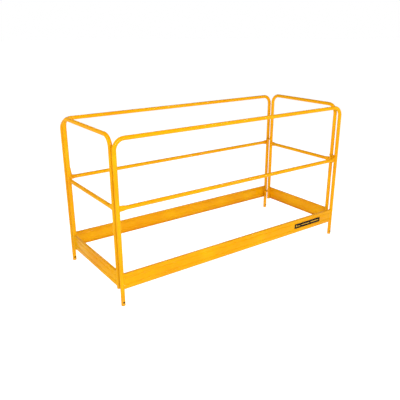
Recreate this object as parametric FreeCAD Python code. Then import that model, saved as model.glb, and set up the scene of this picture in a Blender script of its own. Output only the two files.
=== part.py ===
import FreeCAD, Part
import math
import os

# Guardrail set with toe boards for the top of a narrow rolling (baker) scaffold.
# Millimetres. X runs along the platform, -Y is the front, Z is up, and z = 0 is the
# bottom of the four legs. The origin is midway between the legs.

V = FreeCAD.Vector

# ---- driving dimensions ------------------------------------------------------------
LEG_SPACING_X = 1830.0        # side panel uprights, centre to centre
LEG_SPACING_Y = 750.0         # front panel to back panel, centre to centre
TUBE_OD = 25.4
TUBE_WALL = 1.6
BEND_R = 63.5                 # centreline radius of the hoop corners
SIDE_TOP_Z = 1005.0           # centre height of the side panels' top rails
END_TOP_Z = 1017.5            # centre height of the end panels' top rails
SIDE_MID_Z = 610.0            # centre height of the side mid rails
END_MID_Z = 603.0             # centre height of the end mid rails
END_FOOT_Z = 97.0             # lower ends of the end panels' uprights
END_INSET = 43.5              # end upright to side upright, centre to centre, along Y

LEG_HOLE_R = 6.35             # cross hole for the locking pin
LEG_HOLE_Z = 23.0

FLAT_HALF = 4.0               # half thickness of a mid rail's pressed end
FLAT_LENGTH = 12.0            # fully pressed length
FLARE_LENGTH = 36.0           # pressed shape back to round
FLARE_STEPS = 7
ROUND_TRIM = 0.02             # keeps the last flare section a true oval

BOARD_Z0 = 107.0              # lower edge of the toe boards
BOARD_HEIGHT = 100.0
BOARD_FACE = 9.0              # outer face, out from the uprights' centre plane
BOARD_LIP = 6.0               # flange tips, in from the uprights' centre plane
SHEET = 1.6
BOARD_BEND = 3.0              # centreline radius of the flange bends
RIB_CENTRES = (28.0, 74.0)    # rolled grooves, up from the lower edge
RIB_HALF_TOP = 5.0
RIB_HALF_FLOOR = 1.5
RIB_DEPTH = 2.5
COPE = 0.2                    # room between a coped end and its upright
CUT_PAST = 20.0               # how far a cutting cylinder runs past what it cuts

SOCKET_OD = 16.0              # sleeve on a side upright
SOCKET_ID = 10.6
SOCKET_LENGTH = 42.0
SOCKET_X = 12.0               # sleeve centre, inward from the uprights' plane
SOCKET_Y = 17.0               # sleeve centre, from the side upright towards the end one
SOCKET_TOPS = {"upper": 636.0, "lower": 160.0}
DROP_PIN_R = 5.0
DROP_PIN_PAST = 10.0          # pin end below the sleeve
DROP_PIN_CHAMFER = 1.5
TAB_R = 8.0
TAB_THICK = 6.0
TAB_GAP = 0.3                 # tab above the sleeve
GUSSET_THICK = 5.0
GUSSET_NOSE = 6.0             # upright edge over the tab's inner end
GUSSET_TIP = 1.0              # width at the top, past the upright's wall
GUSSET_SETBACK = 0.5          # nose, in from the tab's edge
HOOK_COPE = 0.1               # room between a hook and its upright
GUSSET_TOPS = {"upper": 688.0, "lower": 206.0}

LABEL_X = (506.0, 778.0)
LABEL_Z = (140.5, 176.5)
LABEL_THICK = 0.5

HALF_X = LEG_SPACING_X / 2
HALF_Y = LEG_SPACING_Y / 2
END_HALF_Y = HALF_Y - END_INSET
TUBE_R = TUBE_OD / 2


# ---- helpers -----------------------------------------------------------------------
def save(name, shape):
    """Write one node as a STEP file."""
    shape.exportStep("parts/" + name + ".step")


def placed(shape, turn, offset):
    """A copy turned about Z by degrees, then moved."""
    copy = shape.copy()
    copy.rotate(V(0, 0, 0), V(0, 0, 1), turn)
    copy.translate(offset)
    return copy


def hoop(half_span, foot_z, top_z):
    """Inverted U of round tube in the XZ plane, open at both feet."""
    r = BEND_R
    d = r * math.sqrt(0.5)
    up = top_z - r
    inner = half_span - r
    path = Part.Wire([
        Part.makeLine(V(-half_span, 0, foot_z), V(-half_span, 0, up)),
        Part.Arc(V(-half_span, 0, up), V(-inner - d, 0, up + d), V(-inner, 0, top_z)).toShape(),
        Part.makeLine(V(-inner, 0, top_z), V(inner, 0, top_z)),
        Part.Arc(V(inner, 0, top_z), V(inner + d, 0, up + d), V(half_span, 0, up)).toShape(),
        Part.makeLine(V(half_span, 0, up), V(half_span, 0, foot_z))])
    start = V(-half_span, 0, foot_z)
    outer = Part.Wire(Part.makeCircle(TUBE_R, start, V(0, 0, 1)))
    inside = Part.Wire(Part.makeCircle(TUBE_R - TUBE_WALL, start, V(0, 0, 1)))
    solid = path.makePipeShell([outer], True, True)
    bore = path.makePipeShell([inside], True, True)
    return solid.cut(bore)


def oval(x, radius, rise):
    """Stadium section in the YZ plane at x: radius is half its width in Y."""
    top = V(x, 0, rise + radius)
    low = V(x, 0, -rise - radius)
    a, b = V(x, radius, rise), V(x, radius, -rise)
    c, d = V(x, -radius, -rise), V(x, -radius, rise)
    return Part.Wire([Part.makeLine(b, a), Part.Arc(a, top, d).toShape(),
                      Part.makeLine(d, c), Part.Arc(c, low, b).toShape()])


def pressed_end(wall):
    """One pressed end of a mid rail from x = 0 inward, as a solid, less a wall."""
    girth = 2 * math.pi * TUBE_R
    sections = []
    for i in range(-1, FLARE_STEPS + 1):
        t = max(i, 0) / FLARE_STEPS
        x = 0.0 if i < 0 else FLAT_LENGTH + FLARE_LENGTH * t
        ease = t * t * (3 - 2 * t)
        radius = FLAT_HALF + (TUBE_R - ROUND_TRIM - FLAT_HALF) * ease
        rise = (girth - 2 * math.pi * radius) / 4
        sections.append(oval(x, radius - wall, rise))
    return Part.makeLoft(sections, True, True)


def mid_rail(half_length):
    """Round tube along X with both ends pressed flat and upright."""
    shells = []
    for wall in (0.0, TUBE_WALL):
        end = pressed_end(wall)
        left = end.copy()
        left.translate(V(-half_length, 0, 0))
        right = placed(end, 180, V(half_length, 0, 0))
        reach = half_length - FLAT_LENGTH - FLARE_LENGTH
        middle = Part.makeCylinder(TUBE_R - wall, 2 * reach, V(-reach, 0, 0), V(1, 0, 0))
        shells.append(middle.fuse([left, right]))
    return shells[0].cut(shells[1])


def arc_points(cx, cz, radius, start, stop, count=5):
    """Points along an arc in the section plane, angles in degrees."""
    points = []
    for i in range(count):
        a = math.radians(start + (stop - start) * i / (count - 1))
        points.append((cx + radius * math.cos(a), cz + radius * math.sin(a)))
    return points


def board_section():
    """Closed outline of the ribbed channel: (outward, up) pairs."""
    web = BOARD_FACE - SHEET / 2
    low, high = SHEET / 2, BOARD_HEIGHT - SHEET / 2
    b = BOARD_BEND
    line = [(-BOARD_LIP, low)]
    line += arc_points(web - b, low + b, b, -90, 0)
    for z in RIB_CENTRES:
        line += [(web, z - RIB_HALF_TOP), (web - RIB_DEPTH, z - RIB_HALF_FLOOR),
                 (web - RIB_DEPTH, z + RIB_HALF_FLOOR), (web, z + RIB_HALF_TOP)]
    line += arc_points(web - b, high - b, b, 0, 90)
    line += [(-BOARD_LIP, high)]
    sides = ([], [])
    for i, (x, z) in enumerate(line):
        normals = []
        for j in (i - 1, i):
            if 0 <= j < len(line) - 1:
                dx, dz = line[j + 1][0] - line[j][0], line[j + 1][1] - line[j][1]
                size = math.hypot(dx, dz)
                normals.append((dz / size, -dx / size))
        nx = sum(n[0] for n in normals) / len(normals)
        nz = sum(n[1] for n in normals) / len(normals)
        scale = SHEET / 2 / (nx * nx + nz * nz)
        sides[0].append((x + nx * scale, z + nz * scale))
        sides[1].append((x - nx * scale, z - nz * scale))
    return sides[0] + sides[1][::-1]


def toe_board(half_span):
    """Ribbed channel along X, outer face to -Y, coped to uprights at +-half_span."""
    reach = half_span - TUBE_R / 2
    points = [V(-reach, -out, BOARD_Z0 + up) for out, up in board_section()]
    face = Part.Face(Part.makePolygon(points + points[:1]))
    board = face.extrude(V(2 * reach, 0, 0))
    for side in (-1, 1):
        post = Part.makeCylinder(TUBE_R + COPE, BOARD_HEIGHT + 2 * CUT_PAST,
                                 V(side * half_span, 0, BOARD_Z0 - CUT_PAST))
        board = board.cut(post)
    return board


def socket(top_z):
    """Upright sleeve with its axis on Z."""
    low = V(0, 0, top_z - SOCKET_LENGTH)
    tube = Part.makeCylinder(SOCKET_OD / 2, SOCKET_LENGTH, low)
    return tube.cut(Part.makeCylinder(SOCKET_ID / 2, SOCKET_LENGTH, low))


def hook(top_z, gusset_top):
    """Drop pin, tab and gusset for an end upright on the Z axis.

    Inward is +X and the side upright is towards -Y.
    """
    pin_x, pin_y = SOCKET_X, SOCKET_Y - END_INSET
    under = top_z + TAB_GAP
    pin_low = top_z - SOCKET_LENGTH - DROP_PIN_PAST
    pin = Part.makeCylinder(DROP_PIN_R, under + TAB_THICK - pin_low, V(pin_x, pin_y, pin_low))
    pin = pin.makeChamfer(DROP_PIN_CHAMFER, [e for e in pin.Edges if e.BoundBox.ZMax < pin_low + 0.01])
    tip = Part.makeCylinder(TAB_R, TAB_THICK, V(pin_x, pin_y, under))
    root = Part.makeCylinder(TAB_R, TAB_THICK, V(pin_x, 0, under))
    bar = Part.makeBox(2 * TAB_R, -pin_y, TAB_THICK, V(pin_x - TAB_R, pin_y, under))
    tab = tip.fuse([root, bar])
    high = under + TAB_THICK
    nose = pin_x + TAB_R - GUSSET_SETBACK
    outline = ((0, high), (nose, high), (nose, high + GUSSET_NOSE),
               (TUBE_R + GUSSET_TIP, gusset_top), (0, gusset_top), (0, high))
    wedge = Part.Face(Part.makePolygon([V(x, -GUSSET_THICK / 2, z) for x, z in outline]))
    gusset = wedge.extrude(V(0, GUSSET_THICK, 0))
    body = tab.fuse([gusset, pin])
    upright = Part.makeCylinder(TUBE_R + HOOK_COPE, gusset_top - under + 2 * CUT_PAST,
                                V(0, 0, under - CUT_PAST))
    return body.cut(upright).removeSplitter()


# ---- build -------------------------------------------------------------------------
os.makedirs("parts", exist_ok=True)

# Side panels. Each is made facing -Y; the back one is turned half round.
side_hoop = hoop(HALF_X, 0, SIDE_TOP_Z)
for side in (-1, 1):
    side_hoop = side_hoop.cut(Part.makeCylinder(
        LEG_HOLE_R, 2 * TUBE_OD, V(side * HALF_X, -TUBE_OD, LEG_HOLE_Z), V(0, 1, 0)))
side_rail = mid_rail(HALF_X - TUBE_R - COPE)
side_rail.translate(V(0, 0, SIDE_MID_Z))
side_board = toe_board(HALF_X)

for panel, turn, y in (("front", 0, -HALF_Y), ("back", 180, HALF_Y)):
    at = V(0, y, 0)
    save(panel + "_hoop", placed(side_hoop, turn, at))
    save(panel + "_mid_rail", placed(side_rail, turn, at))
    save(panel + "_toe_board", placed(side_board, turn, at))

# End panels. Each is made along X facing -Y, then turned to face out of its end.
end_hoop = hoop(END_HALF_Y, END_FOOT_Z, END_TOP_Z)
end_rail = mid_rail(END_HALF_Y - TUBE_R - COPE)
end_rail.translate(V(0, 0, END_MID_Z))
end_board = toe_board(END_HALF_Y)

for panel, turn, x in (("left", -90, -HALF_X), ("right", 90, HALF_X)):
    at = V(x, 0, 0)
    save(panel + "_hoop", placed(end_hoop, turn, at))
    save(panel + "_mid_rail", placed(end_rail, turn, at))
    save(panel + "_toe_board", placed(end_board, turn, at))

# Corner couplings: sleeves on the side uprights, hooks on the end uprights.
for end, sx in (("left", 1), ("right", -1)):
    for panel, sy in (("front", 1), ("back", -1)):
        for level, top_z in SOCKET_TOPS.items():
            sleeve = socket(top_z)
            sleeve.translate(V(-sx * (HALF_X - SOCKET_X), -sy * (HALF_Y - SOCKET_Y), 0))
            save("_".join((panel, end, level, "sleeve")), sleeve)
            piece = hook(top_z, GUSSET_TOPS[level])
            if sx < 0:
                piece = piece.mirror(V(0, 0, 0), V(1, 0, 0))
            if sy < 0:
                piece = piece.mirror(V(0, 0, 0), V(0, 1, 0))
            piece.translate(V(-sx * HALF_X, -sy * END_HALF_Y, 0))
            save("_".join((end, panel, level, "hook")), piece)

# Label on the front toe board.
label = Part.makeBox(LABEL_X[1] - LABEL_X[0], LABEL_THICK, LABEL_Z[1] - LABEL_Z[0],
                     V(LABEL_X[0], -HALF_Y - BOARD_FACE - LABEL_THICK, LABEL_Z[0]))
save("front_label", label)
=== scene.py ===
import math

import bmesh
import bpy
from bpy.props import FloatProperty, FloatVectorProperty, IntProperty, PointerProperty
from mathutils import Matrix, Vector


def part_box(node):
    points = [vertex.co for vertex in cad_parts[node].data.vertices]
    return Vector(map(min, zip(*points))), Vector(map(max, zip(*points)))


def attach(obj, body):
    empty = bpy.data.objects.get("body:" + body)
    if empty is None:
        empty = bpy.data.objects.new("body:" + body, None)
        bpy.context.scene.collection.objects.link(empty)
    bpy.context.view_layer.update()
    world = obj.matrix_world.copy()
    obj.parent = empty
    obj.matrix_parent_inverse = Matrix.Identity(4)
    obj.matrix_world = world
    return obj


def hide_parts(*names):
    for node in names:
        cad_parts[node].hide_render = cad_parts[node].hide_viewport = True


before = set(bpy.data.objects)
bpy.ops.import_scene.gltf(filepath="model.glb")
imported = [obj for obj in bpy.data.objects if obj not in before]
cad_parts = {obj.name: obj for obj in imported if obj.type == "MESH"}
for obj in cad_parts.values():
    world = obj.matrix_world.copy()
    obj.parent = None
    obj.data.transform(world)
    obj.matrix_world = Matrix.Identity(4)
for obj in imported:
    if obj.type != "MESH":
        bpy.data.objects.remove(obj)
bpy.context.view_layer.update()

bl_info = {
    "name": "Scaffold guardrail set",
    "version": (1, 0, 0),
    "blender": (4, 5, 0),
    "location": "View3D > Sidebar > Guardrail",
    "description": "Drop-on guardrail panels with toe boards for a narrow rolling scaffold",
    "category": "Object",
}

# Places taken from the frame, in metres. -Y is the front, +X the right end.
_low, _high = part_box("front_hoop")
TUBE_R = (_high.y - _low.y) / 2
SIDE_X = _high.x - TUBE_R
SIDE_Y = -(_low.y + _high.y) / 2
SIDE_TOP = _high.z - TUBE_R
_low, _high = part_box("right_hoop")
END_X = (_low.x + _high.x) / 2
END_Y = _high.y - TUBE_R
END_TOP = _high.z - TUBE_R
END_FOOT = _low.z
_low, _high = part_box("front_mid_rail")
SIDE_RAIL_Z = (_low.z + _high.z) / 2
SIDE_RAIL_END = _high.x
PRESSED_RISE = (_high.z - _low.z) / 2
_low, _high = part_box("right_mid_rail")
END_RAIL_Z = (_low.z + _high.z) / 2
END_RAIL_END = _high.y
_low, _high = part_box("front_toe_board")
BOARD_FOOT, BOARD_TOP = _low.z, _high.z
BOARD_FACE = -SIDE_Y - _low.y
BOARD_LIP = _high.y + SIDE_Y
_low, _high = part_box("front_left_upper_sleeve")
SLEEVE_R = (_high.x - _low.x) / 2
SLEEVE_IN = SIDE_X + (_low.x + _high.x) / 2
SLEEVE_OFF = SIDE_Y + (_low.y + _high.y) / 2
SLEEVE_H = _high.z - _low.z
LEVELS = {}
for _level in ("upper", "lower"):
    _low, _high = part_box("left_front_" + _level + "_hook")
    LEVELS[_level] = {
        "top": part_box("front_left_" + _level + "_sleeve")[1].z,
        "pin_foot": _low.z,
        "gusset_top": _high.z,
    }
_low, _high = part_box("front_label")
LABEL_LOW, LABEL_HIGH = _low.copy(), _high.copy()

MM = 0.001
TAU = 2 * math.pi
CLOSE = 0.05 * MM         # parts that are less than this apart are in one place
MERGE = 0.01 * MM         # vertices nearer than this are merged


# ---- making by hand ----------------------------------------------------------------
def object_mode():
    if bpy.context.object and bpy.context.object.mode != "OBJECT":
        bpy.ops.object.mode_set(mode="OBJECT")


def deselect():
    object_mode()
    bpy.ops.object.select_all(action="DESELECT")


def only(obj):
    """Select one object and make it active."""
    deselect()
    obj.select_set(True)
    bpy.context.view_layer.objects.active = obj


def ring(point, radius, sides, along):
    """An open circle round an axis, left in edit mode with its edge selected."""
    deselect()
    turn = {"X": (0, math.pi / 2, 0), "Y": (math.pi / 2, 0, 0), "Z": (0, 0, 0)}[along]
    bpy.ops.mesh.primitive_circle_add(
        vertices=sides, radius=radius, location=point, rotation=turn
    )
    bpy.ops.object.transform_apply(location=True, rotation=True, scale=True)
    bpy.ops.object.mode_set(mode="EDIT")
    bpy.ops.mesh.select_all(action="SELECT")
    return bpy.context.object


def extend(x, y, z):
    bpy.ops.mesh.extrude_region_move(TRANSFORM_OT_translate={"value": (x, y, z)})


def pick(test, kind="verts"):
    """In edit mode, select the parts of the active mesh whose place passes test."""
    obj = bpy.context.object
    select_mode = {"verts": "VERT", "edges": "EDGE", "faces": "FACE"}[kind]
    bpy.ops.mesh.select_all(action="DESELECT")
    bpy.ops.mesh.select_mode(type=select_mode)
    mesh = bmesh.from_edit_mesh(obj.data)
    for part in getattr(mesh, kind):
        if kind == "verts":
            part.select_set(test(part.co))
        elif kind == "edges":
            part.select_set(test(*(v.co for v in part.verts)))
        else:
            part.select_set(test(part.calc_center_median(), part.normal))
    mesh.select_flush_mode()
    bmesh.update_edit_mesh(obj.data)


def outward():
    """Merge doubles and point every face out."""
    bpy.ops.mesh.select_all(action="SELECT")
    bpy.ops.mesh.remove_doubles(threshold=MERGE)
    bpy.ops.mesh.normals_make_consistent(inside=False)


def modify(obj, kind, **settings):
    """Add a modifier and apply it."""
    only(obj)
    bpy.ops.object.modifier_add(type=kind)
    modifier = obj.modifiers[-1]
    for key, value in settings.items():
        setattr(modifier, key, value)
    bpy.ops.object.modifier_apply(modifier=modifier.name)
    return obj


def ease_edges(obj, width, segments, degrees):
    """Round over every edge that is sharper than an angle."""
    return modify(obj, "BEVEL", width=width, segments=segments, limit_method="ANGLE",
                  angle_limit=math.radians(degrees), use_clamp_overlap=True)


def cut_round(obj, radius, depth, place, sides, turn=(0, 0, 0)):
    """Cut a hole or a cope with a round cutter, its axis on Z unless it is turned."""
    deselect()
    bpy.ops.mesh.primitive_cylinder_add(
        vertices=sides, radius=radius, depth=depth, location=place, rotation=turn)
    cutter = bpy.context.object
    modify(obj, "BOOLEAN", object=cutter, operation="DIFFERENCE", solver="EXACT")
    discard(cutter)


def give_slots(obj, count):
    """Material slots for a modifier to deal faces out to."""
    only(obj)
    for _ in range(count):
        bpy.ops.object.material_slot_add()


def smooth(obj, degrees=38):
    """Shade smooth, but for edges sharper than an angle."""
    only(obj)
    bpy.ops.object.shade_smooth_by_angle(angle=math.radians(degrees))
    return obj


def placed(obj, name, turn=0.0, move=(0, 0, 0), flip=(1, 1)):
    """A copy with its own mesh, mirrored, turned about Z and moved, at the origin."""
    only(obj)
    bpy.ops.object.duplicate(linked=False)
    copy = bpy.context.object
    copy.name = name
    copy.data.name = name
    copy.scale = (flip[0], flip[1], 1)
    bpy.ops.object.transform_apply(location=False, rotation=False, scale=True)
    if flip[0] * flip[1] < 0:
        bpy.ops.object.mode_set(mode="EDIT")
        bpy.ops.mesh.select_all(action="SELECT")
        bpy.ops.mesh.normals_make_consistent(inside=False)
        bpy.ops.object.mode_set(mode="OBJECT")
    copy.rotation_euler = (0, 0, turn)
    copy.location = move
    bpy.ops.object.transform_apply(location=True, rotation=True, scale=True)
    return copy


def discard(*objects):
    for obj in objects:
        bpy.data.objects.remove(obj, do_unlink=True)


def joined(objects, name):
    """Join objects into one piece."""
    deselect()
    for obj in objects:
        obj.select_set(True)
    bpy.context.view_layer.objects.active = objects[0]
    if len(objects) > 1:
        bpy.ops.object.join()
    obj = bpy.context.object
    obj.name = name
    obj.data.name = name
    return obj


def finish_piece(obj, body, materials, stands_for=()):
    """Give a piece its materials, in the order of its faces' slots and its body."""
    faces = [face.material_index for face in obj.data.polygons]
    obj.data.materials.clear()
    for material in materials:
        obj.data.materials.append(material)
    for face, index in zip(obj.data.polygons, faces):
        face.material_index = min(index, len(materials) - 1)
    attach(obj, body)
    if stands_for:
        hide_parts(*stands_for)


# Where each panel made facing -Y goes: its turn about Z and the place of its plane.
SIDE_PLACES = {"front": (0.0, (0, -SIDE_Y, 0)), "back": (math.pi, (0, SIDE_Y, 0))}
END_PLACES = {
    "left": (-math.pi / 2, (-END_X, 0, 0)),
    "right": (math.pi / 2, (END_X, 0, 0)),
}


def body_of(end):
    return end + "_end"


def panel_body(places, panel):
    """Both side panels are one body, and each end panel is its own."""
    return "side_panels" if places is SIDE_PLACES else body_of(panel)


# ---- finishes ----------------------------------------------------------------------
class Nodes:
    """Short hand for wiring one material."""

    def __init__(self, name):
        self.material = bpy.data.materials.new(name)
        self.material.use_nodes = True
        self.tree = self.material.node_tree
        self.shader = self.tree.nodes["Principled BSDF"]
        self.place = self.add("ShaderNodeTexCoord").outputs["Object"]

    def add(self, kind, **settings):
        node = self.tree.nodes.new(kind)
        for key, value in settings.items():
            setattr(node, key, value)
        return node

    def link(self, source, target):
        self.tree.links.new(source, target)

    def stretch(self, scale):
        """Object coordinates scaled along each axis."""
        node = self.add("ShaderNodeMapping")
        node.inputs["Scale"].default_value = scale
        self.link(self.place, node.inputs["Vector"])
        return node.outputs["Vector"]

    def noise(self, scale, detail=2.0, rough=0.5, vector=None):
        """Noise with about this many cells to a metre."""
        node = self.add("ShaderNodeTexNoise")
        node.inputs["Scale"].default_value = scale
        node.inputs["Detail"].default_value = detail
        node.inputs["Roughness"].default_value = rough
        self.link(vector or self.place, node.inputs["Vector"])
        return node.outputs["Fac"]

    def span(self, value, low, high, to_low=0.0, to_high=1.0):
        """Map low..high onto to_low..to_high, and hold it there."""
        node = self.add("ShaderNodeMapRange", clamp=True)
        for key, number in (
            ("From Min", low),
            ("From Max", high),
            ("To Min", to_low),
            ("To Max", to_high),
        ):
            node.inputs[key].default_value = number
        self.link(value, node.inputs["Value"])
        return node.outputs["Result"]

    def maths(self, operation, first, second):
        node = self.add("ShaderNodeMath", operation=operation)
        for socket, value in zip(node.inputs, (first, second)):
            if isinstance(value, (int, float)):
                socket.default_value = value
            else:
                self.link(value, socket)
        return node.outputs["Value"]

    def blend(self, factor, first, second):
        node = self.add("ShaderNodeMix", data_type="RGBA")
        self.link(factor, node.inputs["Factor"])
        for socket, value in ((node.inputs["A"], first), (node.inputs["B"], second)):
            if isinstance(value, tuple):
                socket.default_value = value
            else:
                self.link(value, socket)
        return node.outputs["Result"]

    def bump(self, height, distance, strength=1.0, below=None):
        """Bump up to distance metres deep, over another bump if one is given."""
        node = self.add("ShaderNodeBump")
        node.inputs["Distance"].default_value = distance
        node.inputs["Strength"].default_value = strength
        self.link(height, node.inputs["Height"])
        if below is not None:
            self.link(below, node.inputs["Normal"])
        return node.outputs["Normal"]

    def axis(self, letter):
        """Place along one axis, in metres."""
        node = self.add("ShaderNodeSeparateXYZ")
        self.link(self.place, node.inputs["Vector"])
        return node.outputs[letter]

    def upward(self):
        """How far a face points up: 1 on top, -1 underneath."""
        geometry = self.add("ShaderNodeNewGeometry")
        node = self.add("ShaderNodeSeparateXYZ")
        self.link(geometry.outputs["Normal"], node.inputs["Vector"])
        return node.outputs["Z"]


STEEL = (0.30, 0.28, 0.26, 1.0)       # bare metal where the coat is worn off
WORN_TO = 85 * MM                     # scuffs fade out this far up a leg
TOP_WEAR = (2.2 * MM, 0.3 * MM)       # down from a board's upper edge: none, full
FOOT_WEAR = (0.3 * MM, 1.8 * MM)      # up from a board's lower edge: full, none
# strongest painted shade on faces that point up
TOP_SHADE_MOST = 0.35


def opaque(colour):
    return tuple(colour) + (1.0,)


def shade(colour, factor):
    """A colour with each channel multiplied by its own factor."""
    return opaque(c * f for c, f in zip(colour[:3], factor))


def powder_coat(name, scuffed_feet=False, board_edges=False):
    """Gloss powder coat: orange peel, cloudy film thickness, specks, painted shade on upper
    faces and scuffs.
    """
    found = bpy.data.materials.get(name)
    if found:
        return found
    colours = bpy.context.scene.guardrail_colours
    base = opaque(colours.coat)
    n = Nodes(name)

    # Colour: cloudy film, mottle, painted shade that darkens the upper faces, and dark
    # specks.
    thin = shade(base, (0.93, 0.80, 0.60))
    rich = shade(base, (1.0, 1.07, 1.3))
    cloud = n.span(n.noise(5.0, 4.0, 0.6), 0.32, 0.68)
    colour = n.blend(cloud, thin, rich)
    mottle = n.span(n.noise(60.0, 3.0, 0.6), 0.35, 0.7, 0.0, 0.35)
    colour = n.blend(mottle, colour, shade(base, (0.9, 0.78, 0.7)))
    # Painted shade: faces that point up are darkened towards a brown tint, patchy with noise.
    top_shade = n.maths(
        "MULTIPLY",
        n.span(n.upward(), 0.35, 0.95, 0.0, TOP_SHADE_MOST),
        n.span(n.noise(22.0, 4.0, 0.65), 0.25, 0.7, 0.55, 1.0),
    )
    colour = n.blend(top_shade, colour, opaque(colours.top_shade))
    speck = n.span(n.noise(420.0, 2.0, 0.7), 0.71, 0.76, 0.0, 0.65)
    colour = n.blend(speck, colour, shade(base, (0.45, 0.4, 0.6)))
    rough = n.span(n.noise(35.0, 4.0, 0.6), 0.3, 0.7, 0.22, 0.34)
    # the painted shade mask also makes the upper faces a little rougher
    rough = n.maths("ADD", rough, n.maths("MULTIPLY", top_shade, 0.18))

    # Wear down to bare steel.
    bare = None
    if scuffed_feet:
        low = n.span(n.axis("Z"), 4 * MM, WORN_TO, 1.0, 0.0)
        streaks = n.noise(160.0, 4.0, 0.7, n.stretch((1.0, 1.0, 0.10)))
        bare = n.maths(
            "MULTIPLY",
            n.maths("POWER", low, 1.6),
            n.span(streaks, 0.56, 0.66, 0.0, 0.9),
        )
    if board_edges:
        height = n.axis("Z")
        edge = n.maths(
            "MAXIMUM",
            n.span(height, BOARD_TOP - TOP_WEAR[0], BOARD_TOP - TOP_WEAR[1]),
            n.span(height, BOARD_FOOT + FOOT_WEAR[0], BOARD_FOOT + FOOT_WEAR[1], 1.0, 0.0),
        )
        chips = n.span(n.noise(75.0, 5.0, 0.7), 0.63, 0.69, 0.0, 0.55)
        bare = n.maths("MULTIPLY", edge, chips)
    if bare is not None:
        colour = n.blend(bare, colour, STEEL)
        rough = n.maths("ADD", rough, n.maths("MULTIPLY", bare, 0.2))
        n.link(n.maths("MULTIPLY", bare, 0.7), n.shader.inputs["Metallic"])
    n.link(colour, n.shader.inputs["Base Color"])
    n.link(rough, n.shader.inputs["Roughness"])
    n.shader.inputs["Specular IOR Level"].default_value = 0.0
    n.shader.inputs["Coat Weight"].default_value = 0.22
    n.shader.inputs["Coat Roughness"].default_value = 0.10
    n.shader.inputs["Coat IOR"].default_value = 1.4

    # Orange peel, the slower waves of the film, and the step down where it is worn off.
    peel = n.bump(n.noise(480.0, 1.5, 0.45), 0.10 * MM, 0.55)
    waves = n.bump(n.noise(70.0, 2.0, 0.5), 0.35 * MM, 0.35, peel)
    if bare is not None:
        waves = n.bump(n.maths("SUBTRACT", 1.0, bare), 0.12 * MM, 0.8, waves)
    n.link(waves, n.shader.inputs["Normal"])
    return n.material


def tube_bore(name):
    """Uncoated inside of the tube: mill scale and light rust."""
    found = bpy.data.materials.get(name)
    if found:
        return found
    n = Nodes(name)
    scale = n.blend(n.span(n.noise(90.0, 4.0, 0.6), 0.35, 0.65),
                    (0.008, 0.006, 0.005, 1.0), (0.020, 0.011, 0.007, 1.0))
    rust = n.span(n.noise(38.0, 5.0, 0.65), 0.56, 0.66, 0.0, 0.8)
    n.link(n.blend(rust, scale, (0.035, 0.011, 0.004, 1.0)), n.shader.inputs["Base Color"])
    n.link(n.span(rust, 0.0, 1.0, 0.55, 0.9), n.shader.inputs["Roughness"])
    n.shader.inputs["Specular IOR Level"].default_value = 0.10
    n.link(n.bump(n.noise(260.0, 3.0, 0.6), 0.15 * MM, 0.6), n.shader.inputs["Normal"])
    return n.material


def label_film(name, ink):
    """Printed vinyl: faint fading, fine scratches and a satin film."""
    found = bpy.data.materials.get(name)
    if found:
        return found
    n = Nodes(name)
    base = opaque(ink)
    fade = n.span(n.noise(30.0, 4.0, 0.6), 0.3, 0.75)
    pale = opaque(min(1.0, c * 1.2 + 0.004) for c in ink)
    colour = n.blend(fade, base, pale)
    scratch = n.noise(300.0, 3.0, 0.6, n.stretch((0.06, 1.0, 1.0)))
    marks = n.span(scratch, 0.66, 0.70, 0.0, 0.5)
    colour = n.blend(marks, colour, (0.25, 0.23, 0.2, 1.0))
    n.link(colour, n.shader.inputs["Base Color"])
    n.link(n.span(fade, 0.0, 1.0, 0.32, 0.5), n.shader.inputs["Roughness"])
    n.shader.inputs["Specular IOR Level"].default_value = 0.015
    n.link(n.bump(scratch, 0.03 * MM, 0.5), n.shader.inputs["Normal"])
    return n.material


# ---- sizes and colours a user would change ------------------------------------------
class GuardrailSizes(bpy.types.PropertyGroup):
    tube_wall: FloatProperty(
        name="Tube wall", description="Wall of the round steel tube",
        default=1.6 * MM, min=0.8 * MM, max=3 * MM, unit="LENGTH")
    bend_radius: FloatProperty(
        name="Bend radius", description="Centreline radius of the hoop corners",
        default=63.5 * MM, min=40 * MM, max=90 * MM, unit="LENGTH")
    tube_sides: IntProperty(
        name="Tube sides", description="Faces round each tube", default=48, min=16, max=96)
    pin_hole: FloatProperty(
        name="Locking pin hole", description="Radius of the cross hole in each leg",
        default=6.35 * MM, min=3 * MM, max=8 * MM, unit="LENGTH")
    pin_hole_height: FloatProperty(
        name="Pin hole height", description="Height of the cross hole over the leg's end",
        default=23 * MM, min=12 * MM, max=60 * MM, unit="LENGTH")
    sheet: FloatProperty(
        name="Sheet", description="Thickness of the toe board sheet",
        default=1.6 * MM, min=1 * MM, max=2.5 * MM, unit="LENGTH")
    groove_depth: FloatProperty(
        name="Groove depth", description="Depth of the rolled grooves in a toe board",
        default=2.5 * MM, min=1 * MM, max=4 * MM, unit="LENGTH")
    weld_size: FloatProperty(
        name="Weld size", description="Radius of the weld beads",
        default=2.1 * MM, min=1 * MM, max=4 * MM, unit="LENGTH")


class GuardrailColours(bpy.types.PropertyGroup):
    coat: FloatVectorProperty(
        name="Powder coat", description="Colour of the coated steel", subtype="COLOR",
        size=3, default=(0.745, 0.345, 0.002), min=0, max=1)
    # colour of the painted shade that darkens upper surfaces
    top_shade: FloatVectorProperty(
        name="Top shade", description="Tint that settles on upper surfaces", subtype="COLOR",
        size=3, default=(0.60, 0.25, 0.010), min=0, max=1)
    label: FloatVectorProperty(
        name="Label", description="Ground colour of the label", subtype="COLOR",
        size=3, default=(0.006, 0.005, 0.005), min=0, max=1)
    bars: FloatVectorProperty(
        name="Label bars", description="Colour of the plain bars on the label",
        subtype="COLOR", size=3, default=(0.50, 0.28, 0.03), min=0, max=1)
    floor: FloatVectorProperty(
        name="Floor", description="Colour of the floor", subtype="COLOR",
        size=3, default=(0.45, 0.45, 0.448), min=0, max=1)


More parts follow.
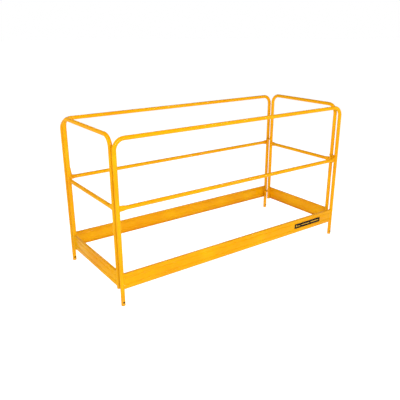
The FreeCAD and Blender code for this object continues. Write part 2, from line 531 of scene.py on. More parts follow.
# ---- hoops -------------------------------------------------------------------------
BEND_STEPS = 20
HOLE_SIDES = 32
HOLE_RINGS = 1.8          # rings over and under a cross hole's centre, in hole radii
DRILL_DEPTH = 6 * TUBE_R
TUBE_EDGE = 0.35 * MM     # rounding of a tube's cut edges


def corner(x, z):
    """Spin the drawn end of a tube a quarter turn towards +X about a point."""
    bpy.ops.mesh.spin(steps=BEND_STEPS, angle=-math.pi / 2, center=(x, 0, z), axis=(0, 1, 0))


def bent_hoop(half_span, foot, top, rings_at=()):
    """Inverted U of tube facing -Y: ring, draw up, spin, draw across, spin, draw down."""
    sizes = bpy.context.scene.guardrail_sizes
    bend = sizes.bend_radius
    knee = top - bend
    obj = ring((-half_span, 0, foot), TUBE_R, sizes.tube_sides, "Z")
    heights = [foot, *rings_at, knee]
    for low, high in zip(heights, heights[1:]):
        extend(0, 0, high - low)
    corner(-half_span + bend, knee)
    extend(2 * (half_span - bend), 0, 0)
    corner(half_span - bend, knee)
    for high, low in zip(heights[::-1], heights[-2::-1]):
        extend(0, 0, low - high)
    outward()
    bpy.ops.object.mode_set(mode="OBJECT")
    give_slots(obj, 2)
    modify(obj, "SOLIDIFY", thickness=sizes.tube_wall, offset=-1.0, material_offset=1)
    return obj


class GUARDRAIL_OT_hoops(bpy.types.Operator):
    """Bend the four hoops and drill the legs"""

    bl_idname = "guardrail.hoops"
    bl_label = "Hoops"

    def execute(self, context):
        sizes = context.scene.guardrail_sizes
        z, r = sizes.pin_hole_height, sizes.pin_hole
        rings_at = (z - HOLE_RINGS * r, z + HOLE_RINGS * r, BOARD_FOOT)
        side = bent_hoop(SIDE_X, 0, SIDE_TOP, rings_at)
        for x in (-SIDE_X, SIDE_X):
            cut_round(side, r, DRILL_DEPTH, (x, 0, z), HOLE_SIDES, (math.pi / 2, 0, 0))
        end = bent_hoop(END_Y, END_FOOT, END_TOP, (BOARD_FOOT,))
        for pattern in (side, end):
            smooth(ease_edges(pattern, TUBE_EDGE, 2, 50))
        legs = powder_coat("powder_coat_legs", scuffed_feet=True)
        plain = powder_coat("powder_coat_tube")
        bore = tube_bore("tube_bore")
        for panel, (turn, move) in SIDE_PLACES.items():
            piece = placed(side, panel + "_hoop_tube", turn, move)
            finish_piece(piece, "side_panels", [legs, bore], [panel + "_hoop"])
        for panel, (turn, move) in END_PLACES.items():
            piece = placed(end, panel + "_hoop_tube", turn, move)
            finish_piece(piece, body_of(panel), [plain, bore], [panel + "_hoop"])
        discard(side, end)
        return {"FINISHED"}


# ---- mid rails ---------------------------------------------------------------------
FLAT = 12 * MM            # fully pressed length
FLARE = 36 * MM           # from pressed back to round
FLARE_STEPS = 12
FLAT_RING = 8 * MM        # one more ring on the pressed length
PRESSED_DIP = 0.45 * MM   # how far each pressed face is hollowed
RAIL_WALL = 1.1 * MM


def pressed_radius():
    """Half the thickness of a pressed end, from its height and the tube's girth."""
    return (TAU * TUBE_R - 4 * PRESSED_RISE) / (TAU - 4)


def pressed_rail(half_length):
    """Tube along X, one half drawn and pressed ring by ring, then mirrored."""
    sizes = bpy.context.scene.guardrail_sizes
    girth = TAU * TUBE_R
    thin = pressed_radius()
    # Rings along the tube: place from its end, and share of the way back to round.
    stations = [(0.0, 0.0), (FLAT_RING, 0.0), (FLAT, 0.0)]
    stations += [(FLAT + FLARE * i / FLARE_STEPS, i / FLARE_STEPS)
                 for i in range(1, FLARE_STEPS + 1)]
    obj = ring((-half_length, 0, 0), TUBE_R, sizes.tube_sides, "X")
    for (a, _), (b, _) in zip(stations, stations[1:]):
        extend(b - a, 0, 0)
    extend(half_length - stations[-1][0], 0, 0)
    for x, t in stations[:-1]:
        ease = t * t * (3 - 2 * t)
        radius = thin + (TUBE_R - thin) * ease
        rise = (girth - TAU * radius) / 4
        at = -half_length + x
        pick(lambda co: abs(co.x - at) < CLOSE)
        scale = radius / TUBE_R
        bpy.ops.transform.resize(value=(1, scale, scale), center_override=(at, 0, 0))
        pick(lambda co: abs(co.x - at) < CLOSE and co.z > CLOSE)
        bpy.ops.transform.translate(value=(0, 0, rise))
        pick(lambda co: abs(co.x - at) < CLOSE and co.z < -CLOSE)
        bpy.ops.transform.translate(value=(0, 0, -rise))
        dip = PRESSED_DIP * (1 - ease)
        for way in (-1, 1):
            pick(lambda co: abs(co.x - at) < CLOSE and abs(co.z) < CLOSE and co.y * way > 0)
            bpy.ops.transform.translate(value=(0, -way * dip, 0))
    outward()
    bpy.ops.object.mode_set(mode="OBJECT")
    modify(obj, "MIRROR", use_axis=(True, False, False), use_mirror_merge=True)
    modify(obj, "SOLIDIFY", thickness=RAIL_WALL, offset=-1.0)
    return smooth(obj)


class GUARDRAIL_OT_mid_rails(bpy.types.Operator):
    """Draw the four mid rails and press their ends flat"""

    bl_idname = "guardrail.mid_rails"
    bl_label = "Mid rails"

    def execute(self, context):
        coat = powder_coat("powder_coat_tube")
        for places, length, height in (
            (SIDE_PLACES, SIDE_RAIL_END, SIDE_RAIL_Z),
            (END_PLACES, END_RAIL_END, END_RAIL_Z),
        ):
            rail = pressed_rail(length)
            for panel, (turn, move) in places.items():
                move = (move[0], move[1], height)
                piece = placed(rail, panel + "_mid_rail_tube", turn, move)
                body = panel_body(places, panel)
                finish_piece(piece, body, [coat], [panel + "_mid_rail"])
            discard(rail)
        return {"FINISHED"}


# ---- toe boards --------------------------------------------------------------------
GROOVES = (28 * MM, 74 * MM)          # up from the board's lower edge
GROOVE_TOP, GROOVE_FLOOR = 5 * MM, 1.5 * MM
FLANGE_BEND, GROOVE_BEND = 3.8 * MM, 1.3 * MM     # how far each crease is rounded
COPE = 0.2 * MM                       # room between a board's end and its upright
COPE_SIDES = 96
COPE_PAST = 40 * MM                   # cutter longer than the board is high
SHEET_EDGE = 0.3 * MM


def ribbed_board(half_span):
    """Sheet channel along X facing -Y: plane, grooves pressed in, flanges drawn, coped."""
    sizes = bpy.context.scene.guardrail_sizes
    reach = half_span - TUBE_R / 2
    height = BOARD_TOP - BOARD_FOOT
    deselect()
    bpy.ops.mesh.primitive_plane_add(size=1, rotation=(math.pi / 2, 0, 0))
    obj = bpy.context.object
    obj.scale = (2 * reach, height, 1)
    obj.location = (0, -BOARD_FACE, BOARD_FOOT + height / 2)
    bpy.ops.object.transform_apply(location=True, rotation=True, scale=True)
    bpy.ops.object.mode_set(mode="EDIT")
    lines = [BOARD_FOOT + g + s * w for g in GROOVES
             for w in (GROOVE_TOP, GROOVE_FLOOR) for s in (-1, 1)]
    for z in lines:
        bpy.ops.mesh.select_all(action="SELECT")
        bpy.ops.mesh.bisect(plane_co=(0, 0, z), plane_no=(0, 0, 1))
    for groove in GROOVES:
        z = BOARD_FOOT + groove
        pick(lambda co: abs(co.z - z) < GROOVE_FLOOR + CLOSE)
        bpy.ops.transform.translate(value=(0, sizes.groove_depth, 0))
    for z in (BOARD_FOOT, BOARD_TOP):
        pick(lambda a, b: abs(a.z - z) < CLOSE and abs(b.z - z) < CLOSE, "edges")
        extend(0, BOARD_FACE + BOARD_LIP, 0)

    def creased(a, b, z, y):
        return all(abs(c.z - z) < CLOSE and abs(c.y - y) < CLOSE for c in (a, b))

    for z in (BOARD_FOOT, BOARD_TOP):
        pick(lambda a, b: creased(a, b, z, -BOARD_FACE), "edges")
        bpy.ops.mesh.bevel(offset=FLANGE_BEND, segments=6, affect="EDGES")
    inner = -BOARD_FACE + sizes.groove_depth
    for z in lines:
        on_floor = any(abs(z - BOARD_FOOT - g) < GROOVE_FLOOR + CLOSE for g in GROOVES)
        y = inner if on_floor else -BOARD_FACE
        pick(lambda a, b: creased(a, b, z, y), "edges")
        bpy.ops.mesh.bevel(offset=GROOVE_BEND, segments=3, affect="EDGES")
    bpy.ops.mesh.select_all(action="SELECT")
    bpy.ops.mesh.remove_doubles(threshold=MERGE)
    mesh = bmesh.from_edit_mesh(obj.data)
    mesh.faces.ensure_lookup_table()
    web = max(mesh.faces, key=lambda f: f.calc_area())
    if web.normal.y > 0:
        bpy.ops.mesh.flip_normals()
    bpy.ops.object.mode_set(mode="OBJECT")
    modify(obj, "SOLIDIFY", thickness=sizes.sheet, offset=-1.0)
    for x in (-half_span, half_span):
        cut_round(obj, TUBE_R + COPE, height + COPE_PAST,
                  (x, 0, BOARD_FOOT + height / 2), COPE_SIDES)
    return smooth(ease_edges(obj, SHEET_EDGE, 2, 60), 30)


class GUARDRAIL_OT_toe_boards(bpy.types.Operator):
    """Roll the four toe boards and cope their ends round the uprights"""

    bl_idname = "guardrail.toe_boards"
    bl_label = "Toe boards"

    def execute(self, context):
        coat = powder_coat("powder_coat_board", board_edges=True)
        for places, span in ((SIDE_PLACES, SIDE_X), (END_PLACES, END_Y)):
            board = ribbed_board(span)
            for panel, (turn, move) in places.items():
                piece = placed(board, panel + "_toe_board_sheet", turn, move)
                body = panel_body(places, panel)
                finish_piece(piece, body, [coat], [panel + "_toe_board"])
            discard(board)
        return {"FINISHED"}


# ---- corner couplings --------------------------------------------------------------
PIN_R = 5 * MM
SLEEVE_BORE = 5.3 * MM
TAB_R = 8 * MM
TAB_THICK = 6 * MM
TAB_GAP = 0.3 * MM        # tab above the sleeve
PIN_CHAMFER = 1.5 * MM
GUSSET = 5 * MM           # thickness
GUSSET_SETBACK = 0.5 * MM     # nose, in from the tab's edge
GUSSET_NOSE = 6 * MM      # upright edge over the tab's inner end
GUSSET_TIP = 1 * MM       # width at the top, past the upright's wall
HOOK_COPE = 0.1 * MM      # room between a hook and its upright
HOOK_CUT = 300 * MM       # length of the cutter that copes it
FITTING_SIDES = 40
SLEEVE_EDGE, HOOK_EDGE = 0.6 * MM, 0.5 * MM


def sleeve():
    """Short length of tube on the Z axis, from z = -SLEEVE_H up to 0."""
    obj = ring((0, 0, -SLEEVE_H), SLEEVE_R, FITTING_SIDES, "Z")
    extend(0, 0, SLEEVE_H)
    outward()
    bpy.ops.object.mode_set(mode="OBJECT")
    modify(obj, "SOLIDIFY", thickness=SLEEVE_R - SLEEVE_BORE, offset=-1.0)
    return smooth(ease_edges(obj, SLEEVE_EDGE, 3, 50))


CORNERS = [(end, panel) for end in ("left", "right") for panel in ("front", "back")]


def corner_signs(end, panel):
    """+1, +1 at the left front corner, where each coupling is modelled."""
    return (1 if end == "left" else -1), (1 if panel == "front" else -1)


class GUARDRAIL_OT_sleeves(bpy.types.Operator):
    """Set the eight sleeves on the side uprights"""

    bl_idname = "guardrail.sleeves"
    bl_label = "Sleeves"

    def execute(self, context):
        coat = powder_coat("powder_coat_fitting")
        pattern = sleeve()
        for end, panel in CORNERS:
            sx, sy = corner_signs(end, panel)
            for level, at in LEVELS.items():
                node = "_".join((panel, end, level, "sleeve"))
                move = (-sx * (SIDE_X - SLEEVE_IN), -sy * (SIDE_Y - SLEEVE_OFF), at["top"])
                piece = placed(pattern, node + "_tube", 0.0, move)
                finish_piece(piece, "side_panels", [coat], [node])
        discard(pattern)
        return {"FINISHED"}


def hook(at):
    """Drop pin, tab and gusset at the left front corner, about the end upright's axis."""
    pin_x, pin_y = SLEEVE_IN, SLEEVE_OFF - (SIDE_Y - END_Y)
    under = at["top"] + TAB_GAP
    foot, top = at["pin_foot"], under + TAB_THICK / 2

    # Pin: drawn up into the tab, its foot closed and rounded, its top closed.
    pin = ring((pin_x, pin_y, foot), PIN_R, FITTING_SIDES, "Z")
    extend(0, 0, top - foot)
    pick(lambda a, b: abs(a.z - foot) < CLOSE and abs(b.z - foot) < CLOSE, "edges")
    bpy.ops.mesh.edge_face_add()
    bpy.ops.mesh.bevel(offset=PIN_CHAMFER, segments=4, affect="EDGES")
    outward()
    pick(lambda a, b: abs(a.z - top) < CLOSE and abs(b.z - top) < CLOSE, "edges")
    bpy.ops.mesh.edge_face_add()
    outward()
    bpy.ops.object.mode_set(mode="OBJECT")

    # Tab: a round blank whose half towards the upright is drawn out to it.
    deselect()
    bpy.ops.mesh.primitive_circle_add(
        vertices=FITTING_SIDES, radius=TAB_R, fill_type="NGON",
        location=(pin_x, pin_y, under))
    tab = bpy.context.object
    bpy.ops.object.transform_apply(location=True)
    bpy.ops.object.mode_set(mode="EDIT")
    pick(lambda co: co.y > pin_y + CLOSE)
    bpy.ops.transform.translate(value=(0, -pin_y, 0))
    bpy.ops.mesh.select_all(action="SELECT")
    extend(0, 0, TAB_THICK)
    outward()
    bpy.ops.object.mode_set(mode="OBJECT")

    # Gusset: a block whose upper inner edge is drawn in to the upright.
    high = under + TAB_THICK
    wide = pin_x + TAB_R - GUSSET_SETBACK
    deselect()
    bpy.ops.mesh.primitive_cube_add(size=1)
    gusset = bpy.context.object
    gusset.scale = (wide, GUSSET, at["gusset_top"] - high)
    gusset.location = (wide / 2, 0, (high + at["gusset_top"]) / 2)
    bpy.ops.object.transform_apply(location=True, rotation=True, scale=True)
    bpy.ops.object.mode_set(mode="EDIT")
    bpy.ops.mesh.select_all(action="SELECT")
    bpy.ops.mesh.bisect(plane_co=(0, 0, high + GUSSET_NOSE), plane_no=(0, 0, 1))
    pick(lambda co: co.z > at["gusset_top"] - CLOSE and co.x > wide / 2)
    bpy.ops.transform.translate(value=(TUBE_R + GUSSET_TIP - wide, 0, 0))
    outward()
    bpy.ops.object.mode_set(mode="OBJECT")
    modify(tab, "BOOLEAN", object=gusset, operation="UNION", solver="EXACT")
    modify(tab, "BOOLEAN", object=pin, operation="UNION", solver="EXACT")
    cut_round(tab, TUBE_R + HOOK_COPE, HOOK_CUT, (0, 0, under), COPE_SIDES)
    discard(gusset, pin)
    return smooth(ease_edges(tab, HOOK_EDGE, 2, 40))


class GUARDRAIL_OT_hooks(bpy.types.Operator):
    """Set the eight hooks on the end uprights, their pins down in the sleeves"""

    bl_idname = "guardrail.hooks"
    bl_label = "Hooks"

    def execute(self, context):
        coat = powder_coat("powder_coat_fitting")
        for level, at in LEVELS.items():
            pattern = hook(at)
            for end, panel in CORNERS:
                sx, sy = corner_signs(end, panel)
                node = "_".join((end, panel, level, "hook"))
                piece = placed(pattern, node + "_plate", 0.0,
                               (-sx * END_X, -sy * END_Y, 0), (sx, sy))
                finish_piece(piece, body_of(end), [coat], [node])
            discard(pattern)
        return {"FINISHED"}


# ---- welds -------------------------------------------------------------------------
RIPPLE = (0.90, 1.0, 1.06, 0.98)      # bead radius from one step to the next
BEAD_SIDES = 10
BEAD_STEP = 1.6 * MM
TAPER = 0.4                           # radius at a bead's ends, as a share of the bead's
RUN_OUT = 0.6                         # length of that taper, in bead radii
LIGHT = 0.8                           # beads on boards and couplings, against the rails'
RAIL_BEAD_OUT = 0.5 * MM              # bead's centre outside a pressed end
RAIL_BEAD_IN = 0.4 * MM               # and off the upright, along the rail
SIDE_STEPS, TURN_STEPS = 18, 6        # steps along and round a pressed end
BOARD_BEAD_IN = 1.2 * MM              # web bead, in from the board's outer face
BOARD_BEAD_OFF = 0.6 * MM             # and off the upright, along the board
BOARD_BEAD_STOP = 5 * MM              # its ends, from the board's edges
FLANGE_BEAD_UP = 1.6 * MM             # flange bead, from the board's edge
FLANGE_BEAD_HALF = 24                 # degrees either way round the upright
SLEEVE_BEAD_SINK = 0.6 * MM           # sleeve beads, sunk into the upright
SLEEVE_BEAD_SIDE = 4.2 * MM           # either side of the line between the two tubes
SLEEVE_BEAD_STOP = 3 * MM             # their ends, from the sleeve's ends
TAB_BEAD_ARC = (-70, 42)              # degrees round the end upright
GUSSET_BEAD_STOPS = (2 * MM, 1 * MM)  # ends, over the tab and under the gusset's top


def bead(points, radius, axis, closed=False):
    """Rippled weld bead through points in one plane, axis being the plane's normal."""
    points = [Vector(p) for p in points]
    normal = {"X": Vector((1, 0, 0)), "Y": Vector((0, 1, 0)), "Z": Vector((0, 0, 1))}[axis]
    count = len(points)

    def heading(i):
        if closed:
            way = points[(i + 1) % count] - points[i - 1]
        else:
            way = points[min(i + 1, count - 1)] - points[max(i - 1, 0)]
        return way.normalized()

    deselect()
    bpy.ops.mesh.primitive_circle_add(vertices=BEAD_SIDES, radius=radius)
    obj = bpy.context.object
    first = heading(0)
    side = normal.cross(first)
    obj.matrix_world = Matrix((
        (side.x, normal.x, first.x, points[0].x),
        (side.y, normal.y, first.y, points[0].y),
        (side.z, normal.z, first.z, points[0].z),
        (0, 0, 0, 1)))
    bpy.ops.object.transform_apply(location=True, rotation=True, scale=True)
    bpy.ops.object.mode_set(mode="EDIT")
    bpy.ops.mesh.select_all(action="SELECT")
    if not closed:
        bpy.ops.mesh.extrude_region_move()
        bpy.ops.mesh.select_all(action="INVERT")
        bpy.ops.transform.resize(value=(TAPER,) * 3, center_override=points[0])
        bpy.ops.transform.translate(value=-first * radius * RUN_OUT)
        bpy.ops.mesh.edge_face_add()
        bpy.ops.mesh.select_all(action="SELECT")
        foot = points[0] - first * radius * RUN_OUT / 2
        pick(lambda co: (co - foot).dot(first) > 0)
    size = 1.0
    for i in range(1, count):
        extend(*(points[i] - points[i - 1]))
        turn = heading(i - 1).rotation_difference(heading(i))
        angle = turn.angle if turn.axis.dot(normal) > 0 else -turn.angle
        if turn.angle > 1e-4:
            bpy.ops.transform.rotate(value=-angle, orient_axis=axis,
                                     center_override=points[i])
        wanted = RIPPLE[i % len(RIPPLE)]
        bpy.ops.transform.resize(value=(wanted / size,) * 3, center_override=points[i])
        size = wanted
    if closed:
        start, end = points[0], points[-1]
        near = radius * 0.2
        lap, tail = heading(0), heading(count - 1)

        def on_ring(co):
            return any(abs((co - p).dot(w)) < near / 4 and (co - p).length < radius * 1.5
                       for p, w in ((start, lap), (end, tail)))

        pick(lambda a, b: on_ring(a) and on_ring(b) and (a - b).length < radius, "edges")
        bpy.ops.mesh.bridge_edge_loops()
    else:
        last = heading(count - 1)
        reach = last * radius * RUN_OUT
        extend(*reach)
        bpy.ops.transform.resize(value=(TAPER,) * 3, center_override=points[-1] + reach)
        bpy.ops.mesh.edge_face_add()
    outward()
    bpy.ops.object.mode_set(mode="OBJECT")
    return smooth(obj, 60)


def straight(start, stop):
    """Evenly stepped points from start to stop."""
    start, stop = Vector(start), Vector(stop)
    count = max(2, round((stop - start).length / BEAD_STEP))
    return [start.lerp(stop, i / count) for i in range(count + 1)]


def round_arc(centre, radius, start, stop):
    """Points on a level arc, angles in degrees."""
    count = max(3, round(abs(math.radians(stop - start)) * radius / BEAD_STEP))
    return [Vector((centre[0] + radius * math.cos(math.radians(a)),
                    centre[1] + radius * math.sin(math.radians(a)), centre[2]))
            for a in (start + (stop - start) * i / count for i in range(count + 1))]


def rail_weld():
    """Bead round a pressed rail end, in the plane x = 0."""
    radius = bpy.context.scene.guardrail_sizes.weld_size
    thin = pressed_radius() + RAIL_BEAD_OUT
    rise = PRESSED_RISE - thin + RAIL_BEAD_OUT
    path = []
    for side in (1, -1):
        path += [Vector((0, side * thin, side * (-rise + 2 * rise * i / SIDE_STEPS)))
                 for i in range(SIDE_STEPS)]
        path += [Vector((0, side * thin * math.cos(a), side * (rise + thin * math.sin(a))))
                 for a in (math.pi * i / TURN_STEPS for i in range(TURN_STEPS))]
    return bead(path, radius, "X", closed=True)


class GUARDRAIL_OT_welds(bpy.types.Operator):
    """Run the weld beads at the rails, boards, sleeves and hooks"""

    bl_idname = "guardrail.welds"
    bl_label = "Welds"

    def execute(self, context):
        coat = powder_coat("powder_coat_weld")
        size = context.scene.guardrail_sizes.weld_size
        loop = rail_weld()
        for places, reach, height in ((SIDE_PLACES, SIDE_X, SIDE_RAIL_Z),
                                      (END_PLACES, END_Y, END_RAIL_Z)):
            x = reach - TUBE_R - RAIL_BEAD_IN
            ends = [placed(loop, "rail_bead", 0.0, (side * x, 0, height)) for side in (-1, 1)]
            pair = joined(ends, "rail_beads")
            self.lay(pair, places, "_rail_welds", coat)
            discard(pair)
        discard(loop)

        # Boards: a vertical bead down each web end and a short one across each flange.
        web_y = -BOARD_FACE + BOARD_BEAD_IN
        web_x = TUBE_R * math.cos(math.asin(abs(web_y) / TUBE_R))
        for places, reach in ((SIDE_PLACES, SIDE_X), (END_PLACES, END_Y)):
            beads = []
            for way in (-1, 1):
                x = way * (reach - web_x - BOARD_BEAD_OFF)
                line = straight((x, web_y, BOARD_FOOT + BOARD_BEAD_STOP),
                                (x, web_y, BOARD_TOP - BOARD_BEAD_STOP))
                beads.append(bead(line, size * LIGHT, "Y"))
                middle = 0 if way < 0 else 180
                for z in (BOARD_FOOT + FLANGE_BEAD_UP, BOARD_TOP - FLANGE_BEAD_UP):
                    line = round_arc((way * reach, 0, z), TUBE_R + 0.4 * MM,
                                     middle - FLANGE_BEAD_HALF, middle + FLANGE_BEAD_HALF)
                    beads.append(bead(line, size * LIGHT, "Z"))
            board = joined(beads, "board_beads")
            self.lay(board, places, "_board_welds", coat)
            discard(board)
        self.couplings(coat, size * LIGHT)
        return {"FINISHED"}

    def lay(self, pattern, places, suffix, coat):
        """Copy one panel's beads onto its two panels."""
        for panel, (turn, move) in places.items():
            piece = placed(pattern, panel + suffix, turn, move)
            finish_piece(piece, panel_body(places, panel), [coat])

    def couplings(self, coat, size):
        """Beads beside each sleeve, and round each tab and gusset."""
        toward = Vector((SLEEVE_IN, SLEEVE_OFF, 0)).normalized()
        across = Vector((-toward.y, toward.x, 0))
        valley = toward * (TUBE_R - SLEEVE_BEAD_SINK)
        sleeve_beads, hook_beads = [], []
        for at in LEVELS.values():
            top = at["top"]
            for way in (-1, 1):
                foot = valley + across * way * SLEEVE_BEAD_SIDE
                line = straight(foot + Vector((0, 0, top - SLEEVE_H + SLEEVE_BEAD_STOP)),
                                foot + Vector((0, 0, top - SLEEVE_BEAD_STOP)))
                sleeve_beads.append(bead(line, size, "Y"))
            under = top + TAB_GAP
            for z in (under + 0.6 * MM, under + TAB_THICK - 0.4 * MM):
                line = round_arc((0, 0, z), TUBE_R + 0.5 * MM, *TAB_BEAD_ARC)
                hook_beads.append(bead(line, size, "Z"))
            for way in (-1, 1):
                y = way * (GUSSET / 2 + 0.5 * MM)
                x = TUBE_R - 0.2 * MM
                line = straight((x, y, under + TAB_THICK + GUSSET_BEAD_STOPS[0]),
                                (x, y, at["gusset_top"] - GUSSET_BEAD_STOPS[1]))
                hook_beads.append(bead(line, size * 0.9, "Y"))
        on_sleeves = joined(sleeve_beads, "sleeve_beads")
        on_hooks = joined(hook_beads, "hook_beads")
        for end, panel in CORNERS:
            sx, sy = corner_signs(end, panel)
            piece = placed(on_sleeves, "_".join((panel, end, "sleeve_welds")), 0.0,
                           (-sx * SIDE_X, -sy * SIDE_Y, 0), (sx, sy))
            finish_piece(piece, "side_panels", [coat])
            piece = placed(on_hooks, "_".join((end, panel, "hook_welds")), 0.0,
                           (-sx * END_X, -sy * END_Y, 0), (sx, sy))
            finish_piece(piece, body_of(end), [coat])
        discard(on_sleeves, on_hooks)


# ---- label -------------------------------------------------------------------------
FILM_UNDER = 0.12 * MM                # the ground's face is this far behind the print's
LABEL_CORNER, BAR_CORNER = 3 * MM, 1.2 * MM


def card(low_x, high_x, low_z, high_z, back, front, corner, name):
    """Thin plate facing -Y with rounded corners."""
    deselect()
    bpy.ops.mesh.primitive_cube_add(size=1)
    obj = bpy.context.object
    obj.scale = (high_x - low_x, back - front, high_z - low_z)
    obj.location = ((low_x + high_x) / 2, (back + front) / 2, (low_z + high_z) / 2)
    bpy.ops.object.transform_apply(location=True, rotation=True, scale=True)
    bpy.ops.object.mode_set(mode="EDIT")
    pick(lambda a, b: abs(a.x - b.x) < CLOSE and abs(a.z - b.z) < CLOSE, "edges")
    bpy.ops.mesh.bevel(offset=corner, segments=6, affect="EDGES")
    outward()
    bpy.ops.object.mode_set(mode="OBJECT")
    obj.name = name
    return obj


# Plain bars on the label: start and end along it, lower and upper edge, as shares.
BARS = (
    (0.05, 0.10, 0.34, 0.70),
    (0.12, 0.21, 0.34, 0.52),
    (0.26, 0.58, 0.42, 0.56),
    (0.63, 0.94, 0.40, 0.60),
)


class GUARDRAIL_OT_label(bpy.types.Operator):
    """Stick the label on the front toe board, with plain bars for print"""

    bl_idname = "guardrail.label"
    bl_label = "Label"

    def execute(self, context):
        colours = context.scene.guardrail_colours
        film = label_film("label_ground", colours.label)
        ink = label_film("label_ink", colours.bars)
        low, high = LABEL_LOW, LABEL_HIGH
        middle = low.y + FILM_UNDER
        ground = card(low.x, high.x, low.z, high.z, high.y, middle, LABEL_CORNER,
                      "front_label_film")
        smooth(ground, 30)
        finish_piece(ground, "side_panels", [film], ["front_label"])
        wide, tall = high.x - low.x, high.z - low.z
        bars = [card(low.x + a * wide, low.x + b * wide, low.z + c * tall, low.z + d * tall,
                     middle, low.y, BAR_CORNER, "bar") for a, b, c, d in BARS]
        print_ = smooth(joined(bars, "front_label_bars"), 30)
        finish_piece(print_, "side_panels", [ink])
        return {"FINISHED"}


# ---- stage -------------------------------------------------------------------------
VIEW_AZIMUTH, VIEW_ELEVATION, VIEW_ROLL = -35.60, 19.63, -0.12    # degrees
VIEW_HEIGHT = 0.55                    # height on the Z axis that the camera is set out from
VIEW_DISTANCE, VIEW_RIGHT, VIEW_UP = 3.5231, -0.0678, -0.1731
VIEW_LENS, VIEW_SENSOR = 44.04, 36.0                              # millimetres

# Softboxes: azimuth and elevation in degrees, then distance, width and height, and watts.
SOFTBOXES = {
    "key": (-14, 24, 3.4, 2.6, 0.8, 74),
    "side": (-82, 34, 3.2, 1.6, 1.2, 41),
    "strip": (50, 44, 3.6, 0.25, 1.6, 28),
    "back": (160, 30, 4.5, 2.6, 1.4, 40),
}
LIGHT_AIM = 0.5                       # height that the softboxes face
WALL_GLOW, CEILING_GLOW = 1.0, 0.14
FADE_FROM, FADE_TO = 0.07, 0.5        # sine of the elevation where the fade starts and ends
FLOOR_RADIUS = 60.0
FLOOR_DROP = 0.5 * MM                 # keeps the floor clear of the legs' ends
FLOOR_GLOW = 0.90


def view_axes(azimuth, elevation, roll=0.0):
    """Right, up and back of a camera, azimuth 0 looking along +Y."""
    a, e, r = (math.radians(v) for v in (azimuth, elevation, roll))
    back = Vector((math.sin(a) * math.cos(e), -math.cos(a) * math.cos(e), math.sin(e)))
    right = Vector((math.cos(a), math.sin(a), 0))
    up = back.cross(right)
    turned = right * math.cos(r) + up * math.sin(r)
    return turned, up * math.cos(r) - right * math.sin(r), back


def facing(right, up, back, place):
    """The matrix of a lamp or camera from its axes and its place."""
    return Matrix(((right.x, up.x, back.x, place.x), (right.y, up.y, back.y, place.y),
                   (right.z, up.z, back.z, place.z), (0, 0, 0, 1)))


def softbox(name, azimuth, elevation, distance, width, height, watts):
    """Area light that faces the middle of the object."""
    deselect()
    bpy.ops.object.light_add(type="AREA")
    lamp = bpy.context.object
    lamp.name = name
    lamp.data.shape = "RECTANGLE"
    lamp.data.size, lamp.data.size_y = width, height
    lamp.data.energy = watts
    right, up, back = view_axes(azimuth, elevation)
    lamp.matrix_world = facing(right, up, back, Vector((0, 0, LIGHT_AIM)) + back * distance)
    lamp.visible_camera = False


def studio_world():
    """Pale walls that fade to a dim ceiling."""
    world = bpy.data.worlds.new("studio")
    world.use_nodes = True
    tree = world.node_tree
    way = tree.nodes.new("ShaderNodeTexCoord")
    parts = tree.nodes.new("ShaderNodeSeparateXYZ")
    fade = tree.nodes.new("ShaderNodeMapRange")
    fade.inputs["From Min"].default_value = FADE_FROM
    fade.inputs["From Max"].default_value = FADE_TO
    fade.inputs["To Min"].default_value = WALL_GLOW
    fade.inputs["To Max"].default_value = CEILING_GLOW
    tree.links.new(way.outputs["Generated"], parts.inputs["Vector"])
    tree.links.new(parts.outputs["Z"], fade.inputs["Value"])
    tree.links.new(fade.outputs["Result"], tree.nodes["Background"].inputs["Strength"])
    tree.nodes["Background"].inputs["Color"].default_value = (1, 1, 1, 1)
    return world


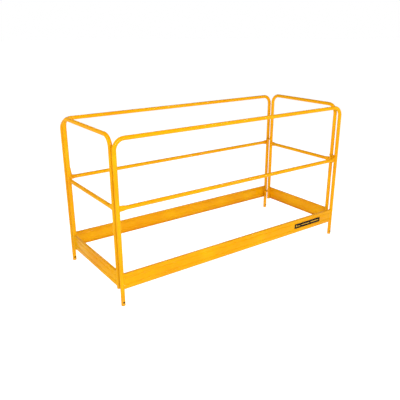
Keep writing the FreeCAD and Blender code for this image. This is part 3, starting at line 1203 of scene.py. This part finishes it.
class GUARDRAIL_OT_stage(bpy.types.Operator):
    """Lay the floor and set the lights and the camera"""

    bl_idname = "guardrail.stage"
    bl_label = "Stage"

    def execute(self, context):
        scene = context.scene
        deselect()
        bpy.ops.mesh.primitive_circle_add(
            vertices=96, radius=FLOOR_RADIUS, fill_type="NGON", location=(0, 0, -FLOOR_DROP))
        floor = context.object
        floor.name = "floor"
        bpy.ops.object.transform_apply(location=True)
        n = Nodes("studio_floor")
        base = opaque(scene.guardrail_colours.floor)
        n.link(n.blend(n.span(n.noise(1.5, 3.0), 0.3, 0.7), base,
                       shade(base, (0.985, 0.985, 0.985))), n.shader.inputs["Base Color"])
        n.shader.inputs["Roughness"].default_value = 0.8
        n.shader.inputs["Specular IOR Level"].default_value = 0.1
        n.shader.inputs["Emission Color"].default_value = (1, 1, 1, 1)
        n.shader.inputs["Emission Strength"].default_value = FLOOR_GLOW
        floor.data.materials.append(n.material)

        scene.world = studio_world()
        for name, settings in SOFTBOXES.items():
            softbox(name, *settings)
        scene.view_settings.view_transform = "Standard"

        right, up, back = view_axes(VIEW_AZIMUTH, VIEW_ELEVATION, VIEW_ROLL)
        place = (Vector((0, 0, VIEW_HEIGHT)) + back * VIEW_DISTANCE
                 + right * VIEW_RIGHT + up * VIEW_UP)
        deselect()
        bpy.ops.object.camera_add()
        camera = context.object
        camera.name = "camera"
        camera.data.lens = VIEW_LENS
        camera.data.sensor_width = VIEW_SENSOR
        camera.matrix_world = facing(right, up, back, place)
        scene.camera = camera
        return {"FINISHED"}


# ---- add-on ------------------------------------------------------------------------
class GUARDRAIL_PT_panel(bpy.types.Panel):
    """Sizes, colours and steps of the guardrail set"""

    bl_idname = "GUARDRAIL_PT_panel"
    bl_label = "Guardrail set"
    bl_space_type = "VIEW_3D"
    bl_region_type = "UI"
    bl_category = "Guardrail"

    def draw(self, context):
        layout = self.layout
        for settings in (context.scene.guardrail_sizes, context.scene.guardrail_colours):
            box = layout.box()
            for key in settings.__annotations__:
                box.prop(settings, key)
        for step in STEPS:
            layout.operator(step.bl_idname)


STEPS = (
    GUARDRAIL_OT_hoops,
    GUARDRAIL_OT_mid_rails,
    GUARDRAIL_OT_toe_boards,
    GUARDRAIL_OT_sleeves,
    GUARDRAIL_OT_hooks,
    GUARDRAIL_OT_welds,
    GUARDRAIL_OT_label,
    GUARDRAIL_OT_stage,
)
CLASSES = (GuardrailSizes, GuardrailColours, *STEPS, GUARDRAIL_PT_panel)


def register():
    for cls in CLASSES:
        bpy.utils.register_class(cls)
    bpy.types.Scene.guardrail_sizes = PointerProperty(type=GuardrailSizes)
    bpy.types.Scene.guardrail_colours = PointerProperty(type=GuardrailColours)


def unregister():
    del bpy.types.Scene.guardrail_colours
    del bpy.types.Scene.guardrail_sizes
    for cls in reversed(CLASSES):
        bpy.utils.unregister_class(cls)


def main():
    register()
    bpy.ops.guardrail.hoops()
    bpy.ops.guardrail.mid_rails()
    bpy.ops.guardrail.toe_boards()
    bpy.ops.guardrail.sleeves()
    bpy.ops.guardrail.hooks()
    bpy.ops.guardrail.welds()
    bpy.ops.guardrail.label()
    bpy.ops.guardrail.stage()
    object_mode()


if __name__ == "__main__":
    main()
